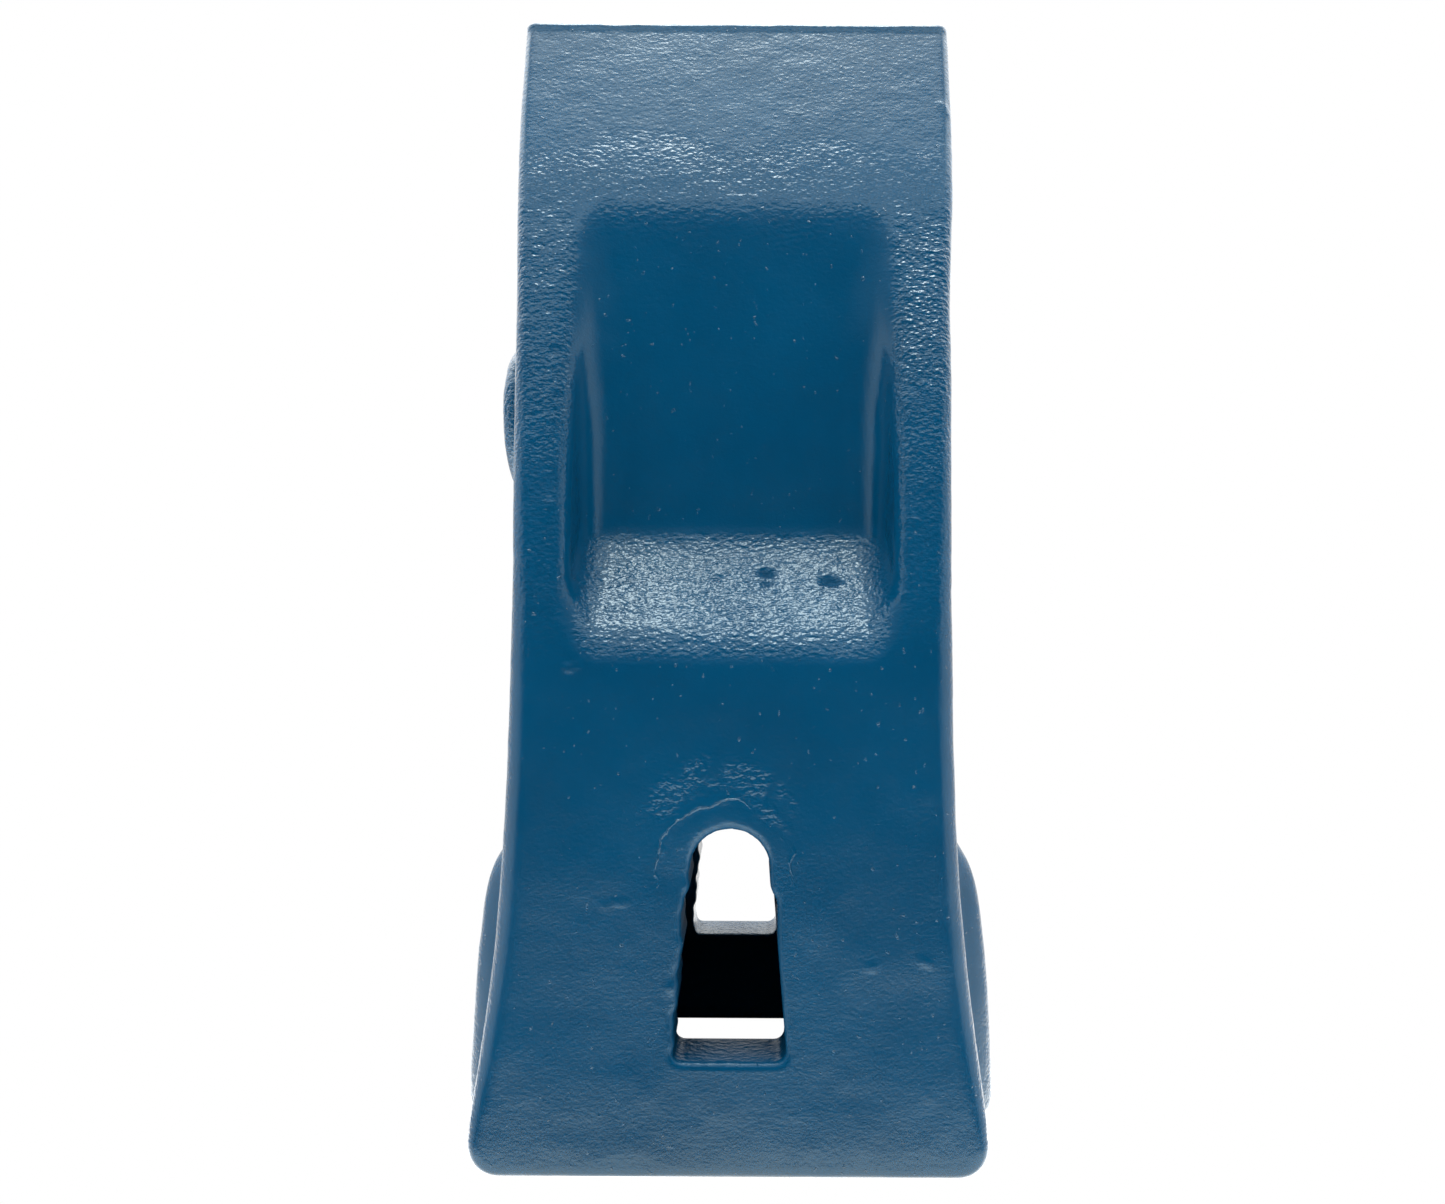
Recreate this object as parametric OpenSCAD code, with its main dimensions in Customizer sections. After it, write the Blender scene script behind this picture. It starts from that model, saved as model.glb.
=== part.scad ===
/* [Overall] */
// Length from the socket mouth to the cutting edge
tooth_len = 315; // [300:1:330]
// Width across the socket mouth
mouth_w = 132.5; // [128:0.5:137]
// Width at the waist, ahead of the socket
waist_w = 114; // [108:0.5:117]
// Width of the cutting edge
tip_w = 124; // [120:0.5:130]
// Thickness over the rolled lip of the mouth
mouth_t = 117; // [115:0.5:122]
// Thickness of the cutting edge
tip_t = 30; // [24:1:34]
// Draft of the two side faces, towards the parting line
side_draft = 2.5; // [1:0.5:3]

/* [Nose socket] */
// Depth of the socket
socket_depth = 150; // [140:1:155]
// Width of the socket at the mouth
socket_w = 101; // [96:1:103]
// Thickness of the socket at the mouth
socket_t = 89; // [86:1:91]

/* [Lock slot] */
// Distance from the mouth to the slot's flat end
slot_start = 29; // [26:0.5:32]
// Distance from the mouth to the flat end of the far wall's slot
far_slot_start = 31; // [28:0.5:34]
// Distance from the mouth to the slot's round end
slot_end = 87.5; // [85:0.5:92]
// Radius of the slot's round end, which seats the pin
seat_r = 10.15; // [10.05:0.05:10.3]

/* [Pocket] */
// Height of the pocket's rear edge above the mouth
pocket_start = 133.5; // [130:0.5:137]
// Height of the pocket's front edge above the mouth
pocket_end = 251; // [246:1:255]
// Width of the pocket between its two ribs
pocket_w = 84; // [78:1:86]
// Thickness of metal left between the two pocket floors at their rear
web_t = 64; // [60:1:72]

/* [Flex pin] */
// Radius of the pin, over both steel halves
pin_r = 10.07; // [9.9:0.01:10.1]
// Length of the pin
pin_len = 112; // [110:1:114]
// Thickness of the rubber between the two halves
rubber_t = 5; // [4:0.5:6]
// Length of pin that is started in the far wall
pin_started = 14; // [12:1:16]

/* [Hidden] */
$fn = 96;
eps = 0.01;
far = 200;

// Outline of the side, as half thickness against height above the mouth
lip_r = 2.5;
lip_t = mouth_t / 2;
box_rear_t = 57;
box_front_t = 55;
face_end_t = 38;
chisel_knee = [[36, 258], [33.4, 266], [30.4, 274]];
rib_steps = 10;
edge_r = 1.5;

// Outline of the front, as half width against height above the mouth
corner_r = 7;
waist_low = 119;
waist_high = 145;

// Side lobes, which cover the adapter's shoulders
lobe_half_w = 74.4;
lobe_half_t = 27;
lobe_top = 72;

// Stub left where the casting's gate was cut off, on one side only
gate_r = 22;
gate_z = 200.5;
gate_reach = 70.2;

// Socket: thickness falls to a short parallel stretch at its blind end
socket_mid_z = 112;
socket_mid_t = 54;
socket_nose_t = 34;
socket_mid_w = 88;
socket_end_w = 80;

// Lock slot
slot_step_z = 72;
slot_step_w = 24.2;
slot_wide_w = 28.4;
slot_taper_z = 58;
slot_wide_z = 34;
slot_step_run = 2;
slot_corner = 2.5;
seat_z = slot_end - seat_r;

// Pocket floor and its steep rear ramp
ramp_run = 28.5;
floor_start = pocket_start + ramp_run;
floor_rear_w = 74;
pocket_overrun = 20;
rim_flare = 2.2;

// Flex pin: the near end lies pin_started inside the far wall's outer face
far_face_y = 56;
pin_y = far_face_y - pin_started;
pin_chamfer = 2;
core_inset = 1.2;
core_len = 96;

function arc(cx, cy, r, a0, a1, n) =
    [for (i = [0:n]) let (a = a0 + (a1 - a0) * i / n) [cx + r * cos(a), cy + r * sin(a)]];

function flipped(points) =
    [for (i = [len(points) - 1:-1:0]) [-points[i][0], points[i][1]]];

// Half thickness along a rib, which curves from the box down to the chisel face
function rib_t(z) =
    box_front_t - (box_front_t - face_end_t)
    * pow((z - pocket_start) / (pocket_end - pocket_start), 1.8);

side_half = concat(
    arc(lip_t - lip_r, lip_r, lip_r, -90, 0, 6),
    [[lip_t, 10], [box_rear_t, 30]],
    [for (i = [0:rib_steps])
        let (z = pocket_start + (pocket_end - pocket_start) * i / rib_steps) [rib_t(z), z]],
    chisel_knee,
    [[tip_t / 2 + 0.6, tooth_len - edge_r], [tip_t / 2 - edge_r, tooth_len]]
);

function side_t(z) = lookup(z, [for (p = side_half) [p[1], p[0]]]);

front_half = concat(
    arc(mouth_w / 2 - corner_r, corner_r, corner_r, -90, 0, 8),
    [[mouth_w / 2 - 0.4, 12], [mouth_w / 2 - 1.6, 20], [63, 33], [61.6, 46], [59.6, 68], [58.1, 90],
     [waist_w / 2, waist_low], [waist_w / 2, waist_high], [57.1, 190], [57.7, 224], [59.7, 265],
     [tip_w / 2, tooth_len - 3], [tip_w / 2 - 2, tooth_len]]
);

// Extrudes an outline drawn as [Y, Z] along X, centred
module along_x(length) {
    rotate([90, 0, 90])
        linear_extrude(height = length, center = true)
            children();
}

// Extrudes an outline drawn as [X, Z] along Y, centred
module along_y(length) {
    rotate([90, 0, 0])
        linear_extrude(height = length, center = true)
            children();
}

module side_outline() {
    polygon(concat(side_half, flipped(side_half)));
}

// Both tilted prisms cut the flank back by the draft, so the outline is widened to keep its
// stated width at the broad faces
module front_prism(tilt) {
    right = [for (p = front_half)
        [p[0] * cos(side_draft) + side_t(p[1]) * sin(side_draft), p[1]]];
    rotate([0, 0, tilt])
        along_y(2 * far)
            polygon(concat(right, flipped(right)));
}

module body_blank() {
    intersection() {
        along_x(2 * far)
            side_outline();
        front_prism(side_draft);
        front_prism(-side_draft);
    }
}

module lobes() {
    lobe = [[0, 0], [lobe_half_w - 3, 0], [lobe_half_w, 3], [lobe_half_w, 12], [73.9, 22.5],
            [73.1, 36.6], [72.2, 47], [70.8, 59], [69.4, 66], [67.2, lobe_top], [63.5, lobe_top + 4.5],
            [58, lobe_top + 8], [0, lobe_top + 8]];
    section = [[0, -lobe_half_t - 9], [58, -lobe_half_t - 9], [66, -lobe_half_t],
               [lobe_half_w - 5, -lobe_half_t + 3], [lobe_half_w, -lobe_half_t + 11],
               [lobe_half_w, lobe_half_t - 11], [lobe_half_w - 5, lobe_half_t - 3],
               [66, lobe_half_t], [58, lobe_half_t + 9], [0, lobe_half_t + 9]];
    for (side = [0, 1])
        mirror([side, 0, 0])
            intersection() {
                along_y(4 * lobe_half_t)
                    polygon(lobe);
                linear_extrude(height = far)
                    polygon(section);
            }
}

module gate_stub() {
    translate([-gate_reach, 0, gate_z])
        rotate([0, 90, 0])
            cylinder(h = gate_reach, r = gate_r);
}

module socket() {
    height = [[socket_t / 2, -eps], [socket_t / 2, 0], [socket_t / 2 - 3.5, slot_start],
              [socket_mid_t / 2, socket_mid_z], [socket_nose_t / 2, socket_mid_z + 8],
              [socket_nose_t / 2, socket_depth]];
    width = [[socket_w / 2, -eps], [socket_w / 2, 0], [socket_mid_w / 2, socket_mid_z],
             [socket_end_w / 2, socket_depth]];
    intersection() {
        along_x(2 * far)
            polygon(concat(height, flipped(height)));
        along_y(2 * far)
            polygon(concat(width, flipped(width)));
    }
}

module slot_outline(start) {
    right = [[slot_wide_w / 2 - slot_corner, start], [slot_wide_w / 2, start + slot_corner],
             [slot_wide_w / 2, slot_wide_z], [slot_step_w / 2 + 0.1, slot_taper_z],
             [slot_step_w / 2, slot_step_z - slot_step_run],
             [seat_r, slot_step_z], [seat_r, seat_z]];
    polygon(concat(right, flipped(right)));
    translate([0, seat_z])
        circle(r = seat_r);
}

// The slot runs right through, and its flat end sits a little further in on the far side
module slots() {
    translate([0, -far / 2, 0])
        along_y(far)
            slot_outline(slot_start);
    translate([0, far / 2 - eps, 0])
        along_y(far)
            slot_outline(far_slot_start);
}

// The near side's pocket, open at its front where the floor runs out into the chisel face. Its
// floor, ramp and two walls are carried on past the metal they cut.
module pocket() {
    rear_t = web_t / 2;
    out_t = lip_t + 4;
    floor_slope = (face_end_t - rear_t) / (pocket_end - floor_start);
    ramp_slope = ramp_run / (box_front_t - rear_t);
    rear_y = -rear_t;
    out_y = -out_t;
    run_z = pocket_end + pocket_overrun;
    run_y = -(face_end_t + pocket_overrun * floor_slope);
    ramp_z = pocket_start - (out_t - box_front_t) * ramp_slope;
    rim = pocket_w / 2 + rim_flare;
    polyhedron(
        points = [
            [-floor_rear_w / 2, rear_y, floor_start], [floor_rear_w / 2, rear_y, floor_start],
            [pocket_w / 2, run_y, run_z], [-pocket_w / 2, run_y, run_z],
            [-rim, out_y, ramp_z], [rim, out_y, ramp_z],
            [rim, out_y, run_z], [-rim, out_y, run_z]
        ],
        faces = [[0, 1, 2, 3], [7, 6, 5, 4], [0, 4, 5, 1], [1, 5, 6, 2], [2, 6, 7, 3], [3, 7, 4, 0]]
    );
}

module tooth_point() {
    color("steelblue")
        difference() {
            union() {
                body_blank();
                lobes();
                gate_stub();
            }
            socket();
            slots();
            pocket();
            mirror([0, 1, 0])
                pocket();
        }
}

// A round bar along Y with chamfered ends, from the pin's near end to its far end
module pin_bar() {
    translate([0, pin_y, seat_z])
        rotate([-90, 0, 0])
            rotate_extrude()
                polygon([[0, 0], [pin_r - pin_chamfer, 0], [pin_r, pin_chamfer],
                         [pin_r, pin_len - pin_chamfer], [pin_r - pin_chamfer, pin_len], [0, pin_len]]);
}

// Half of the bar: side is 1 for the half towards the tip, -1 for the half towards the mouth
module pin_half(side) {
    keep = 2 * pin_r;
    intersection() {
        pin_bar();
        translate([-keep, pin_y - 1, side > 0 ? seat_z + rubber_t / 2 : seat_z - rubber_t / 2 - keep])
            cube([2 * keep, pin_len + 2, keep]);
    }
}

module pin_front_half() {
    color("silver")
        pin_half(1);
}

module pin_rear_half() {
    color("darkgray")
        pin_half(-1);
}

module pin_rubber_core() {
    core_w = 2 * (sqrt(pin_r * pin_r - rubber_t * rubber_t / 4) - core_inset);
    color([0.1, 0.1, 0.1])
        translate([-core_w / 2, pin_y + (pin_len - core_len) / 2, seat_z - rubber_t / 2])
            cube([core_w, core_len, rubber_t]);
}

tooth_point();
pin_front_half();
pin_rear_half();
pin_rubber_core();
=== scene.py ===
"""Excavator bucket tooth with its flex pin.

The tooth is a sand-cast, enamelled point, and the pin is of steel with a rubber core. The casting
is one continuous skin. It is described as a field of distances to the same outlines that the CAD
holds, in millimetres, blended with the radii a casting has, and meshed from that field.
"""

import math

import bpy
import numpy as np
from mathutils import Euler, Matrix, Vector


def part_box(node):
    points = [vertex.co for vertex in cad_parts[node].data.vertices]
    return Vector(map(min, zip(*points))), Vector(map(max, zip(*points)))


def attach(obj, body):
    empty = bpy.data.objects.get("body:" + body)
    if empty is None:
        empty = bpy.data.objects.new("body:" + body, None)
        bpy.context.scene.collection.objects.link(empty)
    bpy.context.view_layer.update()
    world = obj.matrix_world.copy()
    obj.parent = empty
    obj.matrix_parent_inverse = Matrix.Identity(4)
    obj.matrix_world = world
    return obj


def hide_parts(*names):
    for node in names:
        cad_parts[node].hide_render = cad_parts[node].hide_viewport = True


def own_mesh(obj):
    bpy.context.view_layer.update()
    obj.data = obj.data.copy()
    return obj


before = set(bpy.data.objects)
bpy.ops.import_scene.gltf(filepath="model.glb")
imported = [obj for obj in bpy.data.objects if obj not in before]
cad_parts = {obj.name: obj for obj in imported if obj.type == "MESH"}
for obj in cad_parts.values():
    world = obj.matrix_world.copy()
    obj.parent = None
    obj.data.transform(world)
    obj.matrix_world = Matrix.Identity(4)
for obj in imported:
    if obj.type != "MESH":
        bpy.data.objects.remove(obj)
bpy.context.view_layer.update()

MM = 0.001
TOOTH_LOW, TOOTH_HIGH = (np.array(corner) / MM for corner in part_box("tooth_point"))
PIN_LOW, PIN_HIGH = (np.array(corner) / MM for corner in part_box("pin_front_half"))
REAR_LOW, REAR_HIGH = (np.array(corner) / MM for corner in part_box("pin_rear_half"))
CORE_LOW, CORE_HIGH = (np.array(corner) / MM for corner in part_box("pin_rubber_core"))

# Driving sizes in millimetres, from the CAD. Widths and thicknesses are from the middle plane.
PIN_CLEARANCE = 0.08
LENGTH = TOOTH_HIGH[2]
LIP_T = TOOTH_HIGH[1]
LOBE_W = TOOTH_HIGH[0]
PIN_R = (PIN_HIGH[2] - REAR_LOW[2]) / 2
SEAT_Z = (PIN_HIGH[2] + REAR_LOW[2]) / 2
SEAT_R = PIN_R + PIN_CLEARANCE

# Sizes in millimetres that the CAD's outlines hold too
BOX_REAR_T, BOX_FRONT_T = 57.0, 55.0
FACE_END_T, TIP_T = 38.0, 15.0
POCKET_START, FLOOR_START, POCKET_END = 133.5, 162.0, 251.0
WEB_T = 32.0
SLOT_START, FAR_SLOT_START, SLOT_STEP = 29.0, 31.0, 72.0
LOBE_T = 27.0
SOCKET_DEPTH = 150.0
DRAFT = math.tan(math.radians(2.5))
RIB_CURVE = 1.8

# The dome where the gate was knocked off, in millimetres: its middle, rim, crown and curve
GATE_Z, GATE_R, GATE_CROWN, GATE_BALL_R = 199.6, 23.0, 68.8, 80.0


# ---------------------------------------------------------------- shader nodes

# Blender's noise mostly stays between these two values
NOISE_LOW, NOISE_HIGH = 0.3, 0.7


class Graph:
    """The shader nodes of a material or of the world, with short calls that add to them."""

    def __init__(self, owner):
        owner.use_nodes = True
        self.nodes, self.links = owner.node_tree.nodes, owner.node_tree.links

    def add(self, kind, **settings):
        node = self.nodes.new(kind)
        for name, value in settings.items():
            setattr(node, name, value)
        return node

    def feed(self, socket, value):
        """Gives an input its value: a constant, or another node's output."""
        if isinstance(value, bpy.types.NodeSocket):
            self.links.new(value, socket)
        else:
            socket.default_value = value

    def maths(self, operation, a, b=0.0):
        node = self.add("ShaderNodeMath", operation=operation)
        self.feed(node.inputs[0], a)
        self.feed(node.inputs[1], b)
        return node.outputs[0]

    def spread(self, source, ends, smooth=False):
        """Maps the source from ends[0]..ends[1] to ends[2]..ends[3]."""
        node = self.add("ShaderNodeMapRange")
        if smooth:
            node.interpolation_type = "SMOOTHSTEP"
        for name, value in zip(("From Min", "From Max", "To Min", "To Max"), ends):
            self.feed(node.inputs[name], value)
        self.feed(node.inputs["Value"], source)
        return node.outputs[0]

    def noise(self, size_mm, detail=3.0, roughness=0.5, stretch=(1, 1, 1)):
        """Noise whose largest features are about size_mm across, fixed to the object."""
        mapping = self.add("ShaderNodeMapping")
        self.feed(mapping.inputs["Scale"], [1 / s for s in stretch])
        self.feed(mapping.inputs["Vector"], self.add("ShaderNodeTexCoord").outputs["Object"])
        node = self.add("ShaderNodeTexNoise")
        self.feed(node.inputs["Scale"], 1 / (size_mm * MM))
        self.feed(node.inputs["Detail"], detail)
        self.feed(node.inputs["Roughness"], roughness)
        self.feed(node.inputs["Vector"], mapping.outputs[0])
        return node.outputs["Fac"]

    def levels(self, noise, low, high):
        """The noise, mapped to vary from about low to about high."""
        return self.spread(noise, (NOISE_LOW, NOISE_HIGH, low, high))

    def ramp(self, source, stops):
        """Colours along the source, from stops of (place, colour)."""
        node = self.add("ShaderNodeValToRGB")
        elements = node.color_ramp.elements
        for i, (place, colour) in enumerate(stops):
            stop = elements[i] if i < 2 else elements.new(1.0)
            stop.position = place
            stop.color = (*colour, 1)
        self.feed(node.inputs[0], source)
        return node.outputs[0]

    def bump(self, height, depth_mm, strength=1.0, after=None):
        node = self.add("ShaderNodeBump")
        self.feed(node.inputs["Distance"], depth_mm * MM)
        self.feed(node.inputs["Height"], height)
        self.feed(node.inputs["Strength"], strength)
        if after is not None:
            self.feed(node.inputs["Normal"], after)
        return node.outputs[0]

    def split(self, vector):
        """The X, Y and Z of a vector."""
        node = self.add("ShaderNodeSeparateXYZ")
        self.feed(node.inputs[0], vector)
        return tuple(node.outputs)

    def attribute(self, name):
        return self.add("ShaderNodeAttribute", attribute_name=name).outputs["Fac"]


def new_material(name):
    material = bpy.data.materials.new(name)
    graph = Graph(material)
    return material, graph, graph.nodes["Principled BSDF"]


# ---------------------------------------------------------------- camera, floor and light

CAMERA_PLACE = (5.0, -326.0, 145.2)
CAMERA_ROLL = -0.3
CAMERA_LENS = 26.6
CAMERA_SENSOR = 36.0
CAMERA_SHIFT = -0.0198
CAMERA_NEAR = 0.01

# The stage's cards, in metres, with their grey
CARD_ROUGHNESS = 0.9
FLOOR_HALF, FLOOR_GREY = (2.5, 2.5), 0.82
SHADE_HALF, SHADE_LIFT = (0.052, 0.046), 0.0002

# Brightness of the surroundings against the sine of their elevation
SKY = [(-1.0, 3.1), (-0.46, 3.0), (-0.38, 1.3), (-0.30, 0.5), (-0.22, 0.12), (-0.13, 0.015),
       (0.10, 0.02), (0.20, 0.07), (0.30, 0.25), (0.40, 0.25), (0.48, 0.38), (0.56, 0.75),
       (0.64, 1.6), (0.70, 2.4), (0.755, 2.5), (0.80, 0.85), (0.85, 0.85), (0.875, 1.7),
       (0.90, 2.9), (0.93, 2.7), (0.955, 3.0), (0.97, 8.0), (0.98, 14.0), (1.0, 14.0)]
SKY_TOP = 14.0
# How far the dome leans to +X, as a tangent
SKY_TILT = -0.02

# The glow behind the tooth, which the rims and the far slot mirror: the sine either side of the
# middle plane over which it fades in, and its brightness below one elevation and above another
BACK_FADE = 0.45
BACK_LOW_SINE, BACK_HIGH_SINE = 0.12, 0.35
BACK_LOW, BACK_HIGH = 1.2, 2.0
# The glow at the two sides, which the corners mirror: where it starts and is full, and how bright
SIDE_START, SIDE_FULL, SIDES = 0.78, 0.99, 1.3


def make_camera():
    data = bpy.data.cameras.new("camera")
    data.lens = CAMERA_LENS
    data.sensor_width = CAMERA_SENSOR
    data.shift_x = CAMERA_SHIFT
    data.clip_start = CAMERA_NEAR
    camera = bpy.data.objects.new("camera", data)
    camera.location = [v * MM for v in CAMERA_PLACE]
    camera.rotation_euler = Euler((math.radians(90), math.radians(CAMERA_ROLL), 0), "XYZ")
    bpy.context.scene.collection.objects.link(camera)
    bpy.context.scene.camera = camera


def make_card(name, half, height, grey):
    """A flat matt card of the stage, level with the floor."""
    (x, y), z = half, height
    mesh = bpy.data.meshes.new(name)
    mesh.from_pydata([(-x, -y, z), (x, -y, z), (x, y, z), (-x, y, z)], [], [(0, 1, 2, 3)])
    material, _, shader = new_material(name)
    shader.inputs["Base Color"].default_value = (grey, grey, grey, 1)
    shader.inputs["Roughness"].default_value = CARD_ROUGHNESS
    shader.inputs["Specular IOR Level"].default_value = 0.0
    mesh.materials.append(material)
    card = bpy.data.objects.new(name, mesh)
    bpy.context.scene.collection.objects.link(card)
    card.visible_camera = False
    return card


def make_floor():
    """A pale floor that only lights the tooth, and a black card that keeps the socket dark."""
    floor = make_card("floor", FLOOR_HALF, 0.0, FLOOR_GREY)
    floor.visible_glossy = False
    shade = make_card("socket_shade", SHADE_HALF, SHADE_LIFT, 0.0)
    shade.visible_shadow = False


def make_world():
    """A bright overhead light that falls to dark at eye level, a glow behind and at the sides,
    and a white backdrop that only the camera sees."""
    world = bpy.data.worlds.new("studio")
    bpy.context.scene.world = world
    graph = Graph(world)
    graph.nodes.clear()
    x, y, z = graph.split(graph.add("ShaderNodeTexCoord").outputs["Generated"])

    rise = graph.maths("ADD", graph.maths("MULTIPLY", x, SKY_TILT), z)
    rise = graph.maths("DIVIDE", rise, math.hypot(1, SKY_TILT))
    stops = [((sine + 1) / 2, [level / SKY_TOP] * 3) for sine, level in SKY]
    dome = graph.add("ShaderNodeBackground")
    graph.feed(dome.inputs["Strength"], SKY_TOP)
    graph.feed(dome.inputs["Color"], graph.ramp(graph.spread(rise, (-1, 1, 0, 1)), stops))

    behind = graph.spread(y, (-BACK_FADE, BACK_FADE, 0, 1), smooth=True)
    level = graph.spread(z, (BACK_LOW_SINE, BACK_HIGH_SINE, BACK_LOW, BACK_HIGH))
    aside = graph.maths("ABSOLUTE", x)
    sides = graph.spread(aside, (SIDE_START, SIDE_FULL, 0, SIDES), smooth=True)
    glow = graph.add("ShaderNodeBackground")
    behind = graph.maths("MULTIPLY", behind, level)
    graph.feed(glow.inputs["Strength"], graph.maths("MAXIMUM", behind, sides))

    lights = graph.add("ShaderNodeAddShader")
    graph.feed(lights.inputs[0], dome.outputs[0])
    graph.feed(lights.inputs[1], glow.outputs[0])
    backdrop = graph.add("ShaderNodeBackground")
    graph.feed(backdrop.inputs["Color"], (1, 1, 1, 1))
    mix = graph.add("ShaderNodeMixShader")
    graph.feed(mix.inputs[0], graph.add("ShaderNodeLightPath").outputs["Is Camera Ray"])
    graph.feed(mix.inputs[1], lights.outputs[0])
    graph.feed(mix.inputs[2], backdrop.outputs[0])
    graph.feed(graph.add("ShaderNodeOutputWorld").inputs[0], mix.outputs[0])
    bpy.context.scene.view_settings.view_transform = "Standard"


# ---------------------------------------------------------------- materials

ENAMEL_DARK, ENAMEL_LIGHT = (0.0, 0.0415, 0.099), (0.0002, 0.051, 0.119)
ENAMEL_TINT = (0.80, 0.99, 1.0, 1)
STEEL_DARK, STEEL_LIGHT = (0.22, 0.21, 0.20), (0.46, 0.45, 0.44)
RUBBER_DARK, RUBBER_LIGHT = (0.014, 0.014, 0.014), (0.045, 0.043, 0.040)

# The seam round the slot's nose, in millimetres: its centre's shift to -X, the radii that it
# wanders between, its half width, and how far above and below the seat it fades out
SEAM_SHIFT, SEAM_R_LOW, SEAM_R_HIGH, SEAM_HALF, SEAM_FADE = 1.2, 15.8, 18.6, 0.45, 4.0


def core_seam(graph):
    """A thin broken line round the slot's nose, where the metal closed over the core."""
    place = graph.add("ShaderNodeTexCoord").outputs["Object"]
    flat = graph.add("ShaderNodeMapping")
    graph.feed(flat.inputs["Location"], (SEAM_SHIFT * MM, 0, -SEAT_Z * MM))
    graph.feed(flat.inputs["Scale"], (1, 0, 1))
    graph.feed(flat.inputs["Vector"], place)
    radius = graph.add("ShaderNodeVectorMath", operation="LENGTH")
    graph.feed(radius.inputs[0], flat.outputs[0])
    wander = graph.levels(graph.noise(7, detail=3), SEAM_R_LOW * MM, SEAM_R_HIGH * MM)
    away = graph.maths("ABSOLUTE", graph.maths("SUBTRACT", radius.outputs["Value"], wander))
    line = graph.spread(away, (0, SEAM_HALF * MM, 1, 0), smooth=True)
    broken = graph.spread(graph.noise(12, detail=2), (0.32, 0.44, 0, 1), smooth=True)
    fade = ((SEAT_Z - SEAM_FADE) * MM, (SEAT_Z + SEAM_FADE) * MM, 0, 1)
    above = graph.spread(graph.split(place)[2], fade)
    return graph.maths("MULTIPLY", graph.maths("MULTIPLY", line, broken), above)


def enamel_material():
    """Gloss blue enamel, sprayed over the grain of a sand casting."""
    material, graph, shader = new_material("blue_enamel")
    tone = graph.noise(45, detail=3)
    colour = graph.ramp(tone, [(0.3, ENAMEL_DARK), (0.7, ENAMEL_LIGHT)])
    graph.feed(shader.inputs["Base Color"], colour)
    graph.feed(shader.inputs["Specular Tint"], ENAMEL_TINT)
    dull = graph.attribute("dull")
    gloss = graph.levels(graph.noise(9, detail=4), 0.10, 0.16)
    gloss = graph.maths("MAXIMUM", gloss, graph.maths("MULTIPLY", dull, 0.6))
    graph.feed(shader.inputs["Roughness"], gloss)
    graph.feed(shader.inputs["Specular IOR Level"], graph.spread(dull, (0, 1, 0.5, 0.14)))
    grain = graph.bump(graph.noise(0.6, detail=2, roughness=0.6), depth_mm=0.045)
    specks = graph.noise(1.6, detail=2, roughness=0.5)
    specks = graph.spread(specks, (0.70, 0.78, 0, 1), smooth=True)
    grain = graph.bump(specks, depth_mm=0.16, after=grain)
    grain = graph.bump(core_seam(graph), depth_mm=0.22, after=grain)
    leather = graph.noise(1.2, detail=1.5, roughness=0.45, stretch=(1.3, 1, 0.85))
    skin = graph.bump(leather, 0.75, strength=graph.attribute("rough_zone"), after=grain)
    graph.feed(shader.inputs["Normal"], skin)
    return material


def steel_material():
    """Rolled spring steel, oiled, with light scale and fine scratches along the pin."""
    material, graph, shader = new_material("pin_steel")
    tone = graph.noise(7, detail=5, roughness=0.6)
    colour = graph.ramp(tone, [(0.35, STEEL_DARK), (0.62, STEEL_LIGHT)])
    graph.feed(shader.inputs["Base Color"], colour)
    graph.feed(shader.inputs["Metallic"], 1.0)
    graph.feed(shader.inputs["Roughness"], graph.levels(graph.noise(3, detail=4), 0.3, 0.52))
    scratches = graph.noise(0.8, detail=3, roughness=0.6, stretch=(1, 14, 1))
    graph.feed(shader.inputs["Normal"], graph.bump(scratches, depth_mm=0.04))
    return material


def rubber_material():
    """Moulded black rubber with a dusty bloom."""
    material, graph, shader = new_material("pin_rubber")
    tone = graph.noise(5, detail=4, roughness=0.6)
    colour = graph.ramp(tone, [(0.4, RUBBER_DARK), (0.75, RUBBER_LIGHT)])
    graph.feed(shader.inputs["Base Color"], colour)
    graph.feed(shader.inputs["Roughness"], graph.levels(graph.noise(4, detail=3), 0.62, 0.82))
    grain = graph.noise(0.7, detail=3, roughness=0.6)
    graph.feed(shader.inputs["Normal"], graph.bump(grain, depth_mm=0.05))
    return material


# ---------------------------------------------------------------- outlines

# The heights, in millimetres, over which outlines are tabled, and the table's step
TABLE_LOW, TABLE_HIGH, TABLE_STEP = -60.0, 380.0, 0.25
# How far past the mouth and the cutting edge the outlines are drawn on
OVERRUN = 20


def outline(points, soften):
    """A softened curve through (height, value) points, and its slope, as functions of height."""
    fine = np.arange(TABLE_LOW, TABLE_HIGH, TABLE_STEP)
    heights, values = zip(*points)
    curve = np.interp(fine, heights, values)
    reach = np.arange(-4 * soften, 4 * soften + TABLE_STEP, TABLE_STEP)
    weights = np.exp(-0.5 * (reach / soften) ** 2)
    weights /= weights.sum()
    pad = len(reach) // 2
    curve = np.convolve(np.pad(curve, pad, mode="edge"), weights, mode="valid")[: len(fine)]
    slope = np.gradient(curve, fine)
    return (lambda z: np.interp(z, fine, curve).astype(np.float32),
            lambda z: np.interp(z, fine, slope).astype(np.float32))


def rib_half_t(z):
    """Half thickness over a rib, which curves from the box down to the chisel face."""
    along = (z - POCKET_START) / (POCKET_END - POCKET_START)
    return BOX_FRONT_T - (BOX_FRONT_T - FACE_END_T) * along ** RIB_CURVE


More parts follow.
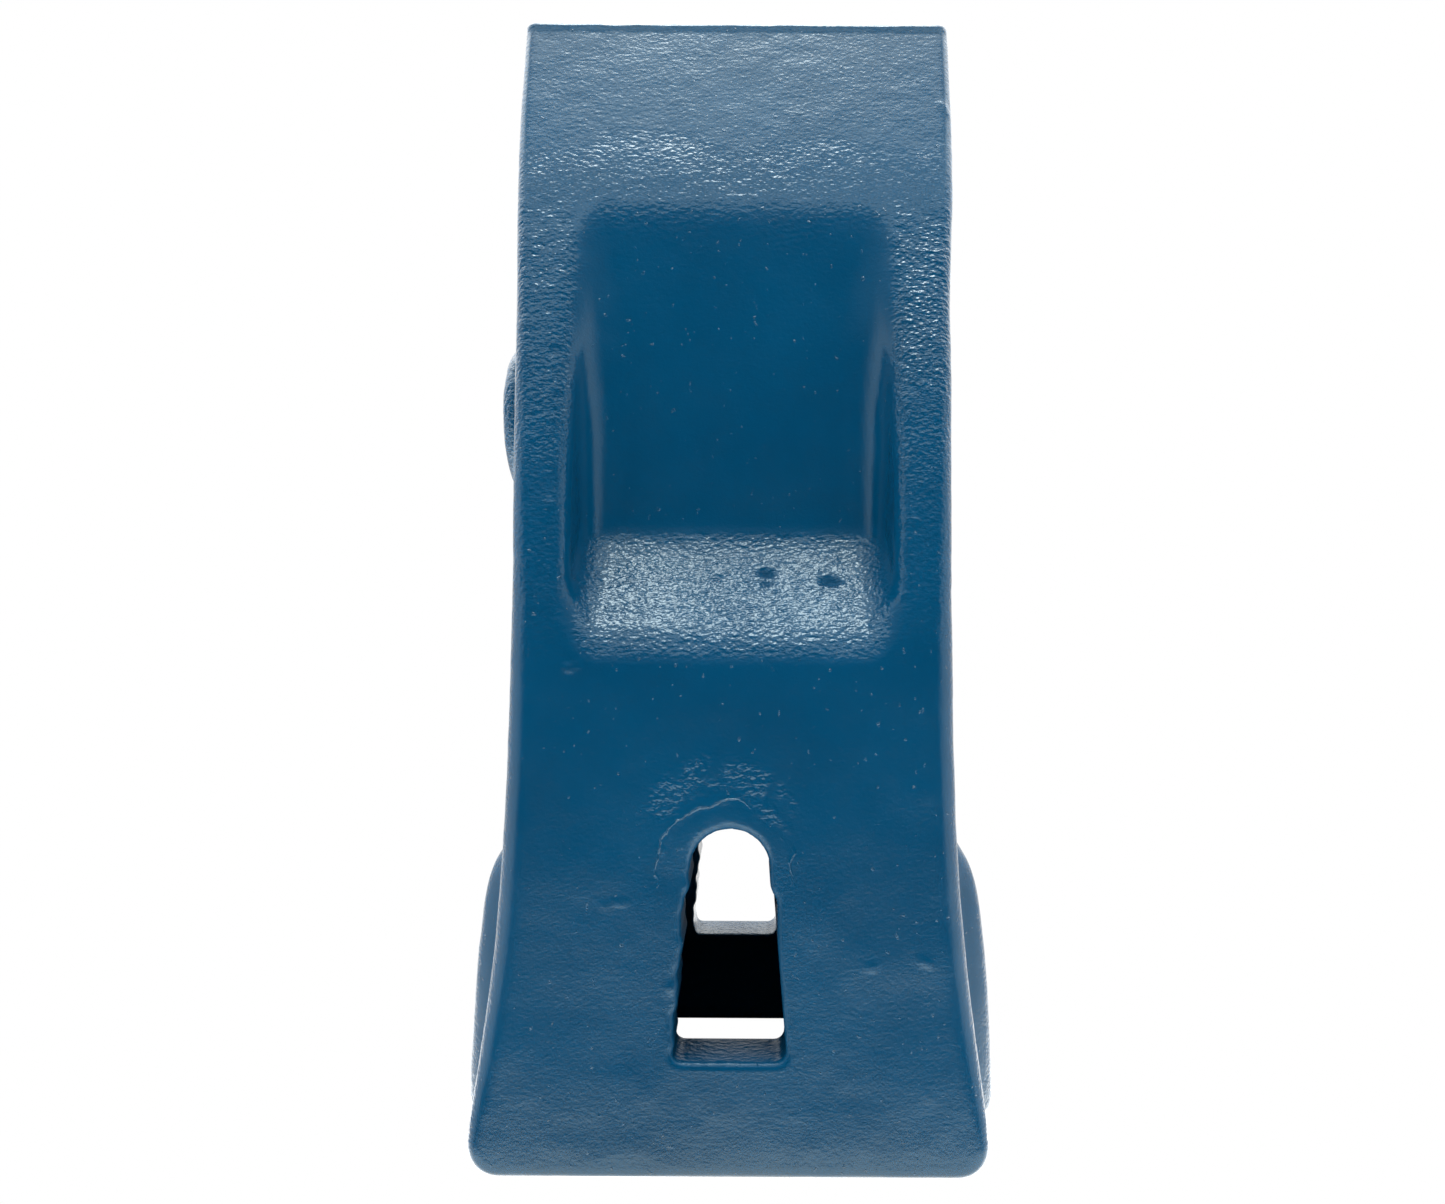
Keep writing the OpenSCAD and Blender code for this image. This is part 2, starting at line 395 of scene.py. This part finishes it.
# Half thickness of the side outline
RIB_HEIGHTS = np.linspace(POCKET_START, POCKET_END, 13)
CHISEL_KNEE = [(258, 36.0), (266, 33.4), (274, 30.4)]
CHISEL_SLOPE = (CHISEL_KNEE[-1][1] - TIP_T) / (LENGTH - CHISEL_KNEE[-1][0])
SIDE_POINTS = (
    [(-OVERRUN, LIP_T), (6, LIP_T), (42, BOX_REAR_T - 0.2)]
    + [(z, rib_half_t(z)) for z in RIB_HEIGHTS]
    + CHISEL_KNEE
    + [(LENGTH, TIP_T), (LENGTH + OVERRUN, TIP_T - OVERRUN * CHISEL_SLOPE)]
)
# Half width of the front outline, and of the side lobes
FRONT_POINTS = [(-OVERRUN, 66.4), (0, 66.3), (12, 65.7), (20, 64.6), (33, 63.0), (46, 61.6),
                (68, 59.5), (90, 58.1), (119, 57.2), (145, 56.8), (190, 57.1), (224, 57.7),
                (265, 59.9), (280, 60.6), (LENGTH, 61.5), (LENGTH + OVERRUN, 62.0)]
LOBE_POINTS = [(-OVERRUN, LOBE_W), (12, LOBE_W), (22.5, 73.9), (36.6, 73.1), (47, 72.2),
               (59, 70.8), (66, 69.4), (72, 67.2), (76.5, 63.5), (80, 58), (86, 47), (130, -60)]
# The pocket: half thickness at its floor, half width there, how far its walls lean out, and the
# radius of the fillet at their foot
FLOOR_POINTS = [(100, WEB_T + 51.0), (FLOOR_START, WEB_T), (POCKET_END, FACE_END_T),
                (LENGTH, 42.0)]
WALL_POINTS = [(110, 44.0), (POCKET_START, 42.3), (FLOOR_START, 40.0), (195, 38.0), (225, 38.6),
               (240, 40.0), (POCKET_END, 41.5), (LENGTH, 45.0)]
FLARE_POINTS = [(110, 0.1), (FLOOR_START, 0.10), (195, 0.32), (225, 0.50), (POCKET_END, 0.8),
                (LENGTH, 0.8)]
FILLET_POINTS = [(110, 8.0), (FLOOR_START, 9.5), (215, 10.0), (244, 5.0), (LENGTH, 4.5)]
# The socket's half thickness and half width, and the slot's half width
SOCKET_T_POINTS = [(-OVERRUN, 45.0), (0, 44.5), (28, 41.0), (112, 27.0), (120, 17.0),
                   (170, 17.0)]
SOCKET_W_POINTS = [(-OVERRUN, 51.0), (0, 50.5), (112, 44.0), (150, 40.0), (170, 38.0)]
SLOT_POINTS = [(0, 17.0), (34, 14.2), (58, 12.2), (SLOT_STEP - 2, 12.1), (SLOT_STEP, SEAT_R),
               (100, SEAT_R)]
# Radius of the casting's long edges, and of the pocket's rim
EDGE_POINTS = [(0, 2.2), (10, 3.4), (30, 6.0), (60, 7.5), (130, 7.0), (200, 4.5), (280, 3.0),
               (LENGTH, 3.2)]
RIM_POINTS = [(0, 3.2), (134, 3.6), (150, 5.0), (220, 5.0), (250, 1.2), (LENGTH, 1.1)]

side_t, side_slope = outline(SIDE_POINTS, 3.0)
front_w, front_slope = outline(FRONT_POINTS, 4.0)
lobe_w, lobe_slope = outline(LOBE_POINTS, 1.5)
floor_t, floor_slope = outline(FLOOR_POINTS, 3.8)
wall_w, wall_slope = outline(WALL_POINTS, 3.0)
wall_flare, _ = outline(FLARE_POINTS, 5.0)
fillet_r, _ = outline(FILLET_POINTS, 4.0)
socket_t, socket_t_slope = outline(SOCKET_T_POINTS, 2.0)
socket_w, socket_w_slope = outline(SOCKET_W_POINTS, 4.0)
slot_w, slot_slope = outline(SLOT_POINTS, 1.2)
edge_r, _ = outline(EDGE_POINTS, 5.0)
rim_r, _ = outline(RIM_POINTS, 2.0)


# ---------------------------------------------------------------- fields

# Radii in millimetres. An edge is where two faces of one shape meet, and a fillet joins two shapes.
MOUTH_CORNER_R, TIP_CORNER_R = 8.5, 3.0
LOBE_EDGE_R, LOBE_FOOT_R, LOBE_FILLET_R = 7.0, 4.0, 7.0
GATE_EDGE_R, GATE_FILLET_R = 3.5, 3.0
SOCKET_CORNER_R, SOCKET_END_R, SOCKET_EDGE_R = 6.0, 4.0, 2.5
SLOT_CORNER_R, SLOT_EDGE_R = 3.0, 1.1
POCKET_END_R, POCKET_OVERRUN = 4.0, 6.0
# The gate's dome is cut off here, well inside the metal
GATE_CUT = -40.0
# The pin's chamfers and edges, and how far the free edges of its rubber are drawn in
PIN_CHAMFER, PIN_EDGE_R, PIN_FLAT_R = 2.0, 0.7, 0.8
CORE_DRAW_IN, CORE_CORNER_R = 0.7, 1.5


def rounded_and(a, b, r):
    """Where both shapes are, with the outer edge between them rounded to r."""
    return np.minimum(np.maximum(a, b), -r) + np.hypot(np.maximum(a + r, 0), np.maximum(b + r, 0))


def rounded_or(a, b, r):
    """Where either shape is, with a fillet of r between them."""
    return np.maximum(np.minimum(a, b), r) - np.hypot(np.maximum(r - a, 0), np.maximum(r - b, 0))


def blank_field(x, y, z):
    """The casting's outside: the side outline and the drafted front one, rounded together."""
    thick, half_w = side_t(z), front_w(z)
    side = (y - thick) / np.hypot(1, side_slope(z))
    flank = (x - half_w - DRAFT * np.maximum(thick - y, 0)) / np.hypot(1, front_slope(z))
    front = rounded_and(rounded_and(flank, -z, MOUTH_CORNER_R), z - LENGTH, TIP_CORNER_R)
    return rounded_and(front, side, edge_r(z))


def lobe_field(x, y, z):
    reach = (x - lobe_w(z)) / np.hypot(1, lobe_slope(z))
    return rounded_and(rounded_and(reach, y - LOBE_T, LOBE_EDGE_R), -z, LOBE_FOOT_R)


def gate_field(x, y, z):
    """The low dome that is left where the gate was knocked off, on the -X flank."""
    middle = GATE_BALL_R - GATE_CROWN
    ball = np.sqrt((x - middle) ** 2 + y ** 2 + (z - GATE_Z) ** 2) - GATE_BALL_R
    rim = np.hypot(y, z - GATE_Z) - GATE_R
    return rounded_and(np.maximum(ball, x - GATE_CUT), rim, GATE_EDGE_R)


def socket_field(x, y, z):
    height = (y - socket_t(z)) / np.hypot(1, socket_t_slope(z))
    width = (x - socket_w(z)) / np.hypot(1, socket_w_slope(z))
    return rounded_and(rounded_and(height, width, SOCKET_CORNER_R), z - SOCKET_DEPTH, SOCKET_END_R)


def slot_field(x, y, z):
    """The keyhole slot; its -X side wanders a little, as cast."""
    wander = np.where(x < 0, 0.28 * np.sin(0.52 * z) + 0.16 * np.sin(1.25 * z + 1), 0)
    x = np.abs(x)
    flank = (x - slot_w(z) - wander) / np.hypot(1, slot_slope(z))
    nose = np.hypot(x, z - SEAT_Z) - SEAT_R
    start = np.where(y < 0, SLOT_START, FAR_SLOT_START)
    return rounded_and(np.where(z > SEAT_Z, nose, flank), start - z, SLOT_CORNER_R)


def pocket_field(x, y, z):
    """The recess between the ribs: above the floor and the ramp, and between two drafted walls."""
    floor = floor_t(z)
    above = (floor - y) / np.hypot(1, floor_slope(z))
    flare = wall_flare(z)
    lean = np.sqrt(1 + flare ** 2 + wall_slope(z) ** 2)
    within = (x - wall_w(z) - flare * (y - floor)) / lean
    recess = rounded_and(above, within, fillet_r(z))
    return rounded_and(recess, z - POCKET_END - POCKET_OVERRUN, POCKET_END_R)


def tooth_field(x, y, z):
    ax, ay = np.abs(x), np.abs(y)
    metal = blank_field(ax, ay, z)
    metal = rounded_or(metal, lobe_field(ax, ay, z), LOBE_FILLET_R)
    metal = rounded_or(metal, gate_field(x, y, z), GATE_FILLET_R)
    metal = rounded_and(metal, -pocket_field(ax, ay, z), rim_r(z))
    metal = rounded_and(metal, -socket_field(ax, ay, z), SOCKET_EDGE_R)
    return rounded_and(metal, -slot_field(x, y, z), SLOT_EDGE_R)


def half_pin_field(side):
    """One steel half of the pin: side is 1 towards the tip and -1 towards the mouth."""
    flat = (CORE_HIGH[2] - CORE_LOW[2]) / 2
    middle_y, half_len = (PIN_LOW[1] + PIN_HIGH[1]) / 2, (PIN_HIGH[1] - PIN_LOW[1]) / 2

    def field(x, y, z):
        rise = z - SEAT_Z
        round_part = np.hypot(x, rise) - PIN_R
        end = np.abs(y - middle_y) - half_len
        slant = (round_part + end + PIN_CHAMFER) / math.sqrt(2)
        bar = rounded_and(np.maximum(round_part, slant), end, PIN_EDGE_R)
        return rounded_and(bar, flat - side * rise, PIN_FLAT_R)

    return field


def core_field(x, y, z):
    """The bonded rubber: a flat bar whose free edges are drawn in a little."""
    middle = (CORE_LOW + CORE_HIGH) / 2
    half = (CORE_HIGH - CORE_LOW) / 2
    draw_in = CORE_DRAW_IN * (1 - ((z - middle[2]) / half[2]) ** 2)
    flank = np.abs(x - middle[0]) - half[0] + draw_in
    end = np.abs(y - middle[1]) - half[1] + draw_in
    return np.maximum(rounded_and(flank, end, CORE_CORNER_R), np.abs(z - middle[2]) - half[2])


# ---------------------------------------------------------------- meshes

CORNERS = np.array([(i, j, k) for i in (0, 1) for j in (0, 1) for k in (0, 1)])
CELL_EDGES = [(a, b) for a in range(8) for b in range(a + 1, 8)
              if np.abs(CORNERS[a] - CORNERS[b]).sum() == 1]
# Room round the box in grid steps, layers worked at once, and rounds of settling on the surface
GRID_MARGIN, SLAB, SETTLE_ROUNDS = 2.5, 24, 4


def cell_points(values, cells):
    """One point in each cell that the surface crosses: the mean of where it cuts the edges."""
    total = np.zeros((len(cells), 3))
    count = np.zeros((len(cells), 1))
    corner_values = [values[tuple((cells + c).T)] for c in CORNERS]
    for a, b in CELL_EDGES:
        low, high = corner_values[a], corner_values[b]
        crosses = (low < 0) != (high < 0)
        share = np.where(crosses, low / np.where(crosses, low - high, 1), 0)[:, None]
        total += crosses[:, None] * (CORNERS[a] + share * (CORNERS[b] - CORNERS[a]))
        count += crosses[:, None]
    return cells + total / count


def cell_quads(inside, index):
    """A face round each grid edge that the surface crosses, from the four cells that share it."""
    quads = []
    for axis in range(3):
        u, v = (axis + 1) % 3, (axis + 2) % 3
        crossing = inside != np.roll(inside, -1, axis)
        found = np.argwhere(crossing[1:-1, 1:-1, 1:-1]) + 1
        step_u, step_v = np.eye(3, dtype=int)[u], np.eye(3, dtype=int)[v]
        ring = [found, found - step_u, found - step_u - step_v, found - step_v]
        faces = np.stack([index[tuple(c.T)] for c in ring], axis=1)
        outward = inside[tuple(found.T)]
        faces[~outward] = faces[~outward][:, ::-1]
        quads.append(faces)
    return np.concatenate(quads)


def gradient(field, points, reach=0.05):
    slopes = []
    for axis in range(3):
        step = np.zeros(3)
        step[axis] = reach
        slopes.append(field(*(points + step).T) - field(*(points - step).T))
    return np.stack(slopes, axis=1) / (2 * reach)


def mesh_of(field, low, high, step):
    """Points and quads of the surface where the field is zero."""
    low = np.array(low) - GRID_MARGIN * step
    counts = np.ceil((np.array(high) + GRID_MARGIN * step - low) / step).astype(int) + 1
    axes = [(low[i] + step * np.arange(counts[i])) for i in range(3)]
    x, y, z = (axis.astype(np.float32) for axis in axes)
    slabs = []
    for start in range(0, counts[0], SLAB):
        part = field(x[start:start + SLAB, None, None], y[None, :, None], z[None, None, :])
        slabs.append(np.broadcast_to(part.astype(np.float32), (part.shape[0], *counts[1:])))
    values = np.concatenate(slabs)
    inside = values < 0
    total = sum(inside[tuple(slice(c, n - 1 + c) for c, n in zip(corner, counts))].astype(np.int8)
                for corner in CORNERS)
    cells = np.argwhere((total > 0) & (total < 8))
    index = np.full(total.shape, -1, np.int32)
    index[tuple(cells.T)] = np.arange(len(cells))
    points = low + step * cell_points(values, cells)
    quads = cell_quads(inside, index)
    for _ in range(SETTLE_ROUNDS):
        slope = gradient(field, points)
        length = np.maximum((slope ** 2).sum(axis=1), 0.25)
        move = (field(*points.T) / length)[:, None] * slope
        size = np.linalg.norm(move, axis=1, keepdims=True)
        points = points - move * np.minimum(1, 0.5 * step / np.maximum(size, 1e-9))
    return points, quads


def new_piece(name, points, quads, material, body, slot, node):
    """A smooth mesh object, in metres, that stands for a CAD node and rides on its body."""
    mesh = bpy.data.meshes.new(name)
    mesh.vertices.add(len(points))
    mesh.vertices.foreach_set("co", (points * MM).astype(np.float32).ravel())
    mesh.loops.add(quads.size)
    mesh.loops.foreach_set("vertex_index", quads.astype(np.int32).ravel())
    mesh.polygons.add(len(quads))
    mesh.polygons.foreach_set("loop_start", np.arange(0, quads.size, 4, dtype=np.int32))
    mesh.update(calc_edges=True)
    mesh.validate()
    mesh.shade_smooth()
    mesh.materials.append(material)
    piece = bpy.data.objects.new(name, mesh)
    bpy.context.scene.collection.objects.link(piece)
    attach(piece, body)
    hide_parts(node)
    return piece


# ---------------------------------------------------------------- cast surface

NOISE_SIDE = 64
# Where a point counts as being on a broad face of the tooth, by its distance from the middle
FACE_START, FACE_SURE = 22, 28


def lattice_noise(points, size, seed):
    """Smooth noise from -1 to 1 at each point, with features about size millimetres across."""
    lattice = np.random.default_rng(seed).uniform(-1, 1, (NOISE_SIDE,) * 3)
    place = points / size
    base = np.floor(place).astype(int)
    part = place - base
    part = part * part * part * (part * (part * 6 - 15) + 10)
    total = np.zeros(len(points))
    for corner in CORNERS:
        weight = np.prod(np.where(corner == 1, part, 1 - part), axis=1)
        total += weight * lattice[tuple(((base + corner) % NOISE_SIDE).T)]
    return total


def step_up(value, low, high):
    """0 below low, 1 above high, and smooth between."""
    share = np.clip((value - low) / (high - low), 0, 1)
    return share * share * (3 - 2 * share)


def band(value, low, high, soft):
    """1 between low and high and 0 outside, over soft millimetres either side of each."""
    return step_up(value, low - soft, low + soft) * (1 - step_up(value, high - soft, high + soft))


def bell(value, middle, width):
    return np.exp(-((value - middle) / width) ** 2)


def on_face(points, normals, side):
    """Where the surface faces along Y: side is -1 for the near face and 1 for the far one."""
    outward = step_up(side * normals[:, 1], 0.2, 0.5)
    return step_up(side * points[:, 1], FACE_START, FACE_SURE) * outward


def rough_zones(points, normals):
    """How coarse the sand skin is, from 0 to 1."""
    x, z = np.abs(points[:, 0]), points[:, 2]
    facing_x, facing_y, facing_z = np.abs(normals).T
    ragged = z + 5 * lattice_noise(points, 15, seed=12)
    broad = step_up(facing_y, 0.35, 0.75)
    foot = 0.34 * band(ragged, 246, 273, soft=6) * broad
    chisel = 0.09 * step_up(ragged, 266, 278) * broad
    on_rib = step_up(x, 41, 44) * broad
    ribs = band(ragged, 176, 252, soft=18) * on_rib
    rib_ends = 0.4 * band(ragged, 140, 182, soft=16) * on_rib
    ramp = 0.78 * step_up(facing_z, 0.10, 0.35) * band(z, 128, 176, soft=5)
    ramp *= 1 - step_up(x, 38, 42)
    sparse = lattice_noise(points, 3.5, seed=13) + 0.5 * lattice_noise(points, 9, seed=14)
    arch = band(np.hypot(points[:, 0] + 3, z - 86), 12, 20, soft=2.5) * step_up(z, 86, 95)
    above_slot = 0.8 * step_up(sparse, -0.8, 0.1) * arch * broad
    slot_end = 0.4 * step_up(normals[:, 2], 0.5, 0.8) * (1 - step_up(z, 33, 35))
    slot_end *= step_up(z, 26, 28)
    flanks = 0.3 * step_up(facing_x, 0.6, 0.9) * step_up(x, 50, 54)
    dome = 0.5 * step_up(-points[:, 0], 59, 64) * band(z, 178, 221, soft=3)
    zones = [foot, chisel, ribs, rib_ends, ramp, above_slot, slot_end, flanks, dome]
    patches = 0.85 + 0.35 * lattice_noise(points, 24, seed=11)
    return np.clip(0.06 + np.maximum.reduce(zones) * patches, 0, 1)


def dull_zones(points, pits):
    """Where the paint is thin and dusty: in the socket, the near slot and the small pits."""
    x, y, z = points.T
    socket_depth = -socket_field(np.abs(x), np.abs(y), z)
    inside = step_up(socket_depth, -2.0, 0.0) * step_up(z, 1.5, 5)
    near = step_up(-slot_field(x, y, z), -1.2, -0.3) * step_up(-y, -30, 20)
    near *= 0.55 + 0.45 * step_up(z, 30, 32)
    return np.maximum.reduce([inside, near, step_up(pits, 0.25, 0.7)])


# Small flaws of the near face, as (x, z, half length, half width, turn in degrees, height)
NEAR_FLAWS = [
    (9.1, 153.0, 2.6, 1.0, -6, -1.3), (9.4, 150.2, 1.4, 0.8, 6, -0.9),
    (26.3, 151.0, 2.5, 1.2, -4, -1.3), (-4.0, 151.6, 2.0, 0.8, 12, -0.5),
    (-41.5, 128.3, 1.5, 0.7, -18, 0.6), (-39.4, 128.8, 0.9, 0.6, 30, 0.5),
    (-28.0, 69.0, 2.6, 0.6, 8, 0.2), (-32.0, 68.4, 1.6, 0.5, -12, 0.2),
    (36.0, 53.2, 2.4, 0.6, 15, 0.22), (49.5, 54.4, 2.0, 0.8, -20, 0.25),
    (-14.9, 47.5, 1.4, 1.0, 70, 0.25), (-47.0, 170.0, 1.6, 0.9, 40, 0.5),
    (43.0, 303.0, 4.0, 1.0, -42, 0.35), (48.5, 298.0, 3.5, 1.0, -48, 0.45),
    (54.0, 291.5, 3.6, 1.0, -55, 0.4), (58.6, 284.0, 3.2, 0.9, -66, 0.4),
    (-46.5, 210.5, 1.8, 1.0, 20, -0.4), (47.0, 166.0, 1.5, 0.6, -35, 0.3),
    (43.6, 147.2, 1.4, 0.8, 10, 0.4),
]
# The far face has the same kinds of flaw, set out differently
FAR_FLAWS = [(-0.8 * x + 6, z + 14, half_len, half_w, -turn, 0.7 * height)
             for x, z, half_len, half_w, turn, height in NEAR_FLAWS]


def flaw_heights(points, flaws):
    """Small dents and crumbs: each is a soft oval, deepest at its centre."""
    total = np.zeros(len(points))
    for cx, cz, half_len, half_w, turn, height in flaws:
        cos, sin = math.cos(math.radians(turn)), math.sin(math.radians(turn))
        dx, dz = points[:, 0] - cx, points[:, 2] - cz
        along, across = (dx * cos + dz * sin) / half_len, (dz * cos - dx * sin) / half_w
        total += height * np.exp(-(along ** 2 + across ** 2) ** 1.5)
    return total


def flow_lines(points):
    """Faint raised lines and a low swell where metal met round the core of the slot."""
    x, z = points[:, 0] + 1.0, points[:, 2]
    radius = np.hypot(x, z - SEAT_Z) + 0.5 * lattice_noise(points, 9, seed=21)
    turn = np.degrees(np.arctan2(z - SEAT_Z, x))
    left = bell(radius, 17.6, 0.45) * band(turn, 86, 168, soft=6)
    right = bell(radius, 18.8, 0.55) * band(turn, 30, 62, soft=6) * 0.7
    swell = bell(radius, 13.5, 4.5) * step_up(z, SEAT_Z - 4, SEAT_Z + 8) * 0.2
    return 0.30 * (left + right) + swell


def cast_skin(points, normals):
    """Height of the sand skin above the ideal surface, in millimetres."""
    x, y, z = points.T
    zone = rough_zones(points, normals)
    uneven = 1 - 0.75 * step_up(z, 258, 276)
    height = uneven * (0.16 * lattice_noise(points, 26, seed=1)
                       + 0.09 * lattice_noise(points, 11, seed=2))
    height += (0.03 + 0.10 * zone) * lattice_noise(points, 4.2, seed=3)
    height += 0.10 * zone * lattice_noise(points * (0.8, 1, 1.3), 2.3, seed=4)
    height += on_face(points, normals, -1) * flaw_heights(points, NEAR_FLAWS)
    height += on_face(points, normals, 1) * flaw_heights(points, FAR_FLAWS)
    box_face = step_up(np.abs(normals[:, 1]), 0.8, 0.95) * step_up(np.abs(y), 50, 53)
    height += box_face * flow_lines(points)
    # The parting line along the flanks, and the bead along the cutting edge
    flank = step_up(np.abs(normals[:, 0]), 0.55, 0.85) * step_up(np.abs(x), 52, 56)
    seam = bell(y, 0.3 * lattice_noise(points, 14, seed=6), 0.9)
    height += 0.32 * flank * seam * (0.75 + 0.5 * lattice_noise(points, 8, seed=7))
    bead = bell(z, LENGTH - 2.8, 1.05) * step_up(np.abs(normals[:, 1]), 0.4, 0.7)
    height += 0.5 * bead * (0.8 + 0.4 * lattice_noise(points, 7, seed=8))
    # The slot's walls are kept smooth and a hair open, so that the pin runs clear
    in_slot = 1 - step_up(np.abs(slot_field(x, y, z)), 0.2, 0.6)
    height = height * (1 - in_slot) - 0.03 * in_slot
    # Nothing stands below the mouth's rim
    return height * step_up(z, 0.2, 1.2)


# ---------------------------------------------------------------- pieces

CASTING_STEP, CASTING_QUICK_STEP, PIN_STEP = 1.0, 2.2, 0.5


def make_tooth(material):
    step = CASTING_STEP
    points, quads = mesh_of(tooth_field, TOOTH_LOW, TOOTH_HIGH, step)
    slope = gradient(tooth_field, points)
    normals = slope / np.maximum(np.linalg.norm(slope, axis=1, keepdims=True), 1e-6)
    zone = rough_zones(points, normals)
    pits = -on_face(points, normals, -1) * flaw_heights(points, NEAR_FLAWS)
    dull = dull_zones(points, pits)
    points = points + normals * cast_skin(points, normals)[:, None]
    points = np.clip(points, TOOTH_LOW, TOOTH_HIGH)
    piece = new_piece("tooth_casting", points, quads, material, "tooth", "painted_casting",
                      "tooth_point")
    for label, values in (("rough_zone", zone), ("dull", dull)):
        attribute = piece.data.attributes.new(label, "FLOAT", "POINT")
        attribute.data.foreach_set("value", values.astype(np.float32))


def make_pin(steel, rubber):
    front = mesh_of(half_pin_field(1), PIN_LOW, PIN_HIGH, PIN_STEP)
    new_piece("pin_steel_front", *front, steel, "pin", "pin_steel", "pin_front_half")
    rear = mesh_of(half_pin_field(-1), REAR_LOW, REAR_HIGH, PIN_STEP)
    new_piece("pin_steel_rear", *rear, steel, "pin_sprung_half", "pin_steel", "pin_rear_half")
    core = mesh_of(core_field, CORE_LOW, CORE_HIGH, PIN_STEP)
    piece = new_piece("pin_rubber", *core, rubber, "pin", "pin_rubber", "pin_rubber_core")
    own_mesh(piece)


make_camera()
make_world()
make_floor()
make_tooth(enamel_material())
make_pin(steel_material(), rubber_material())
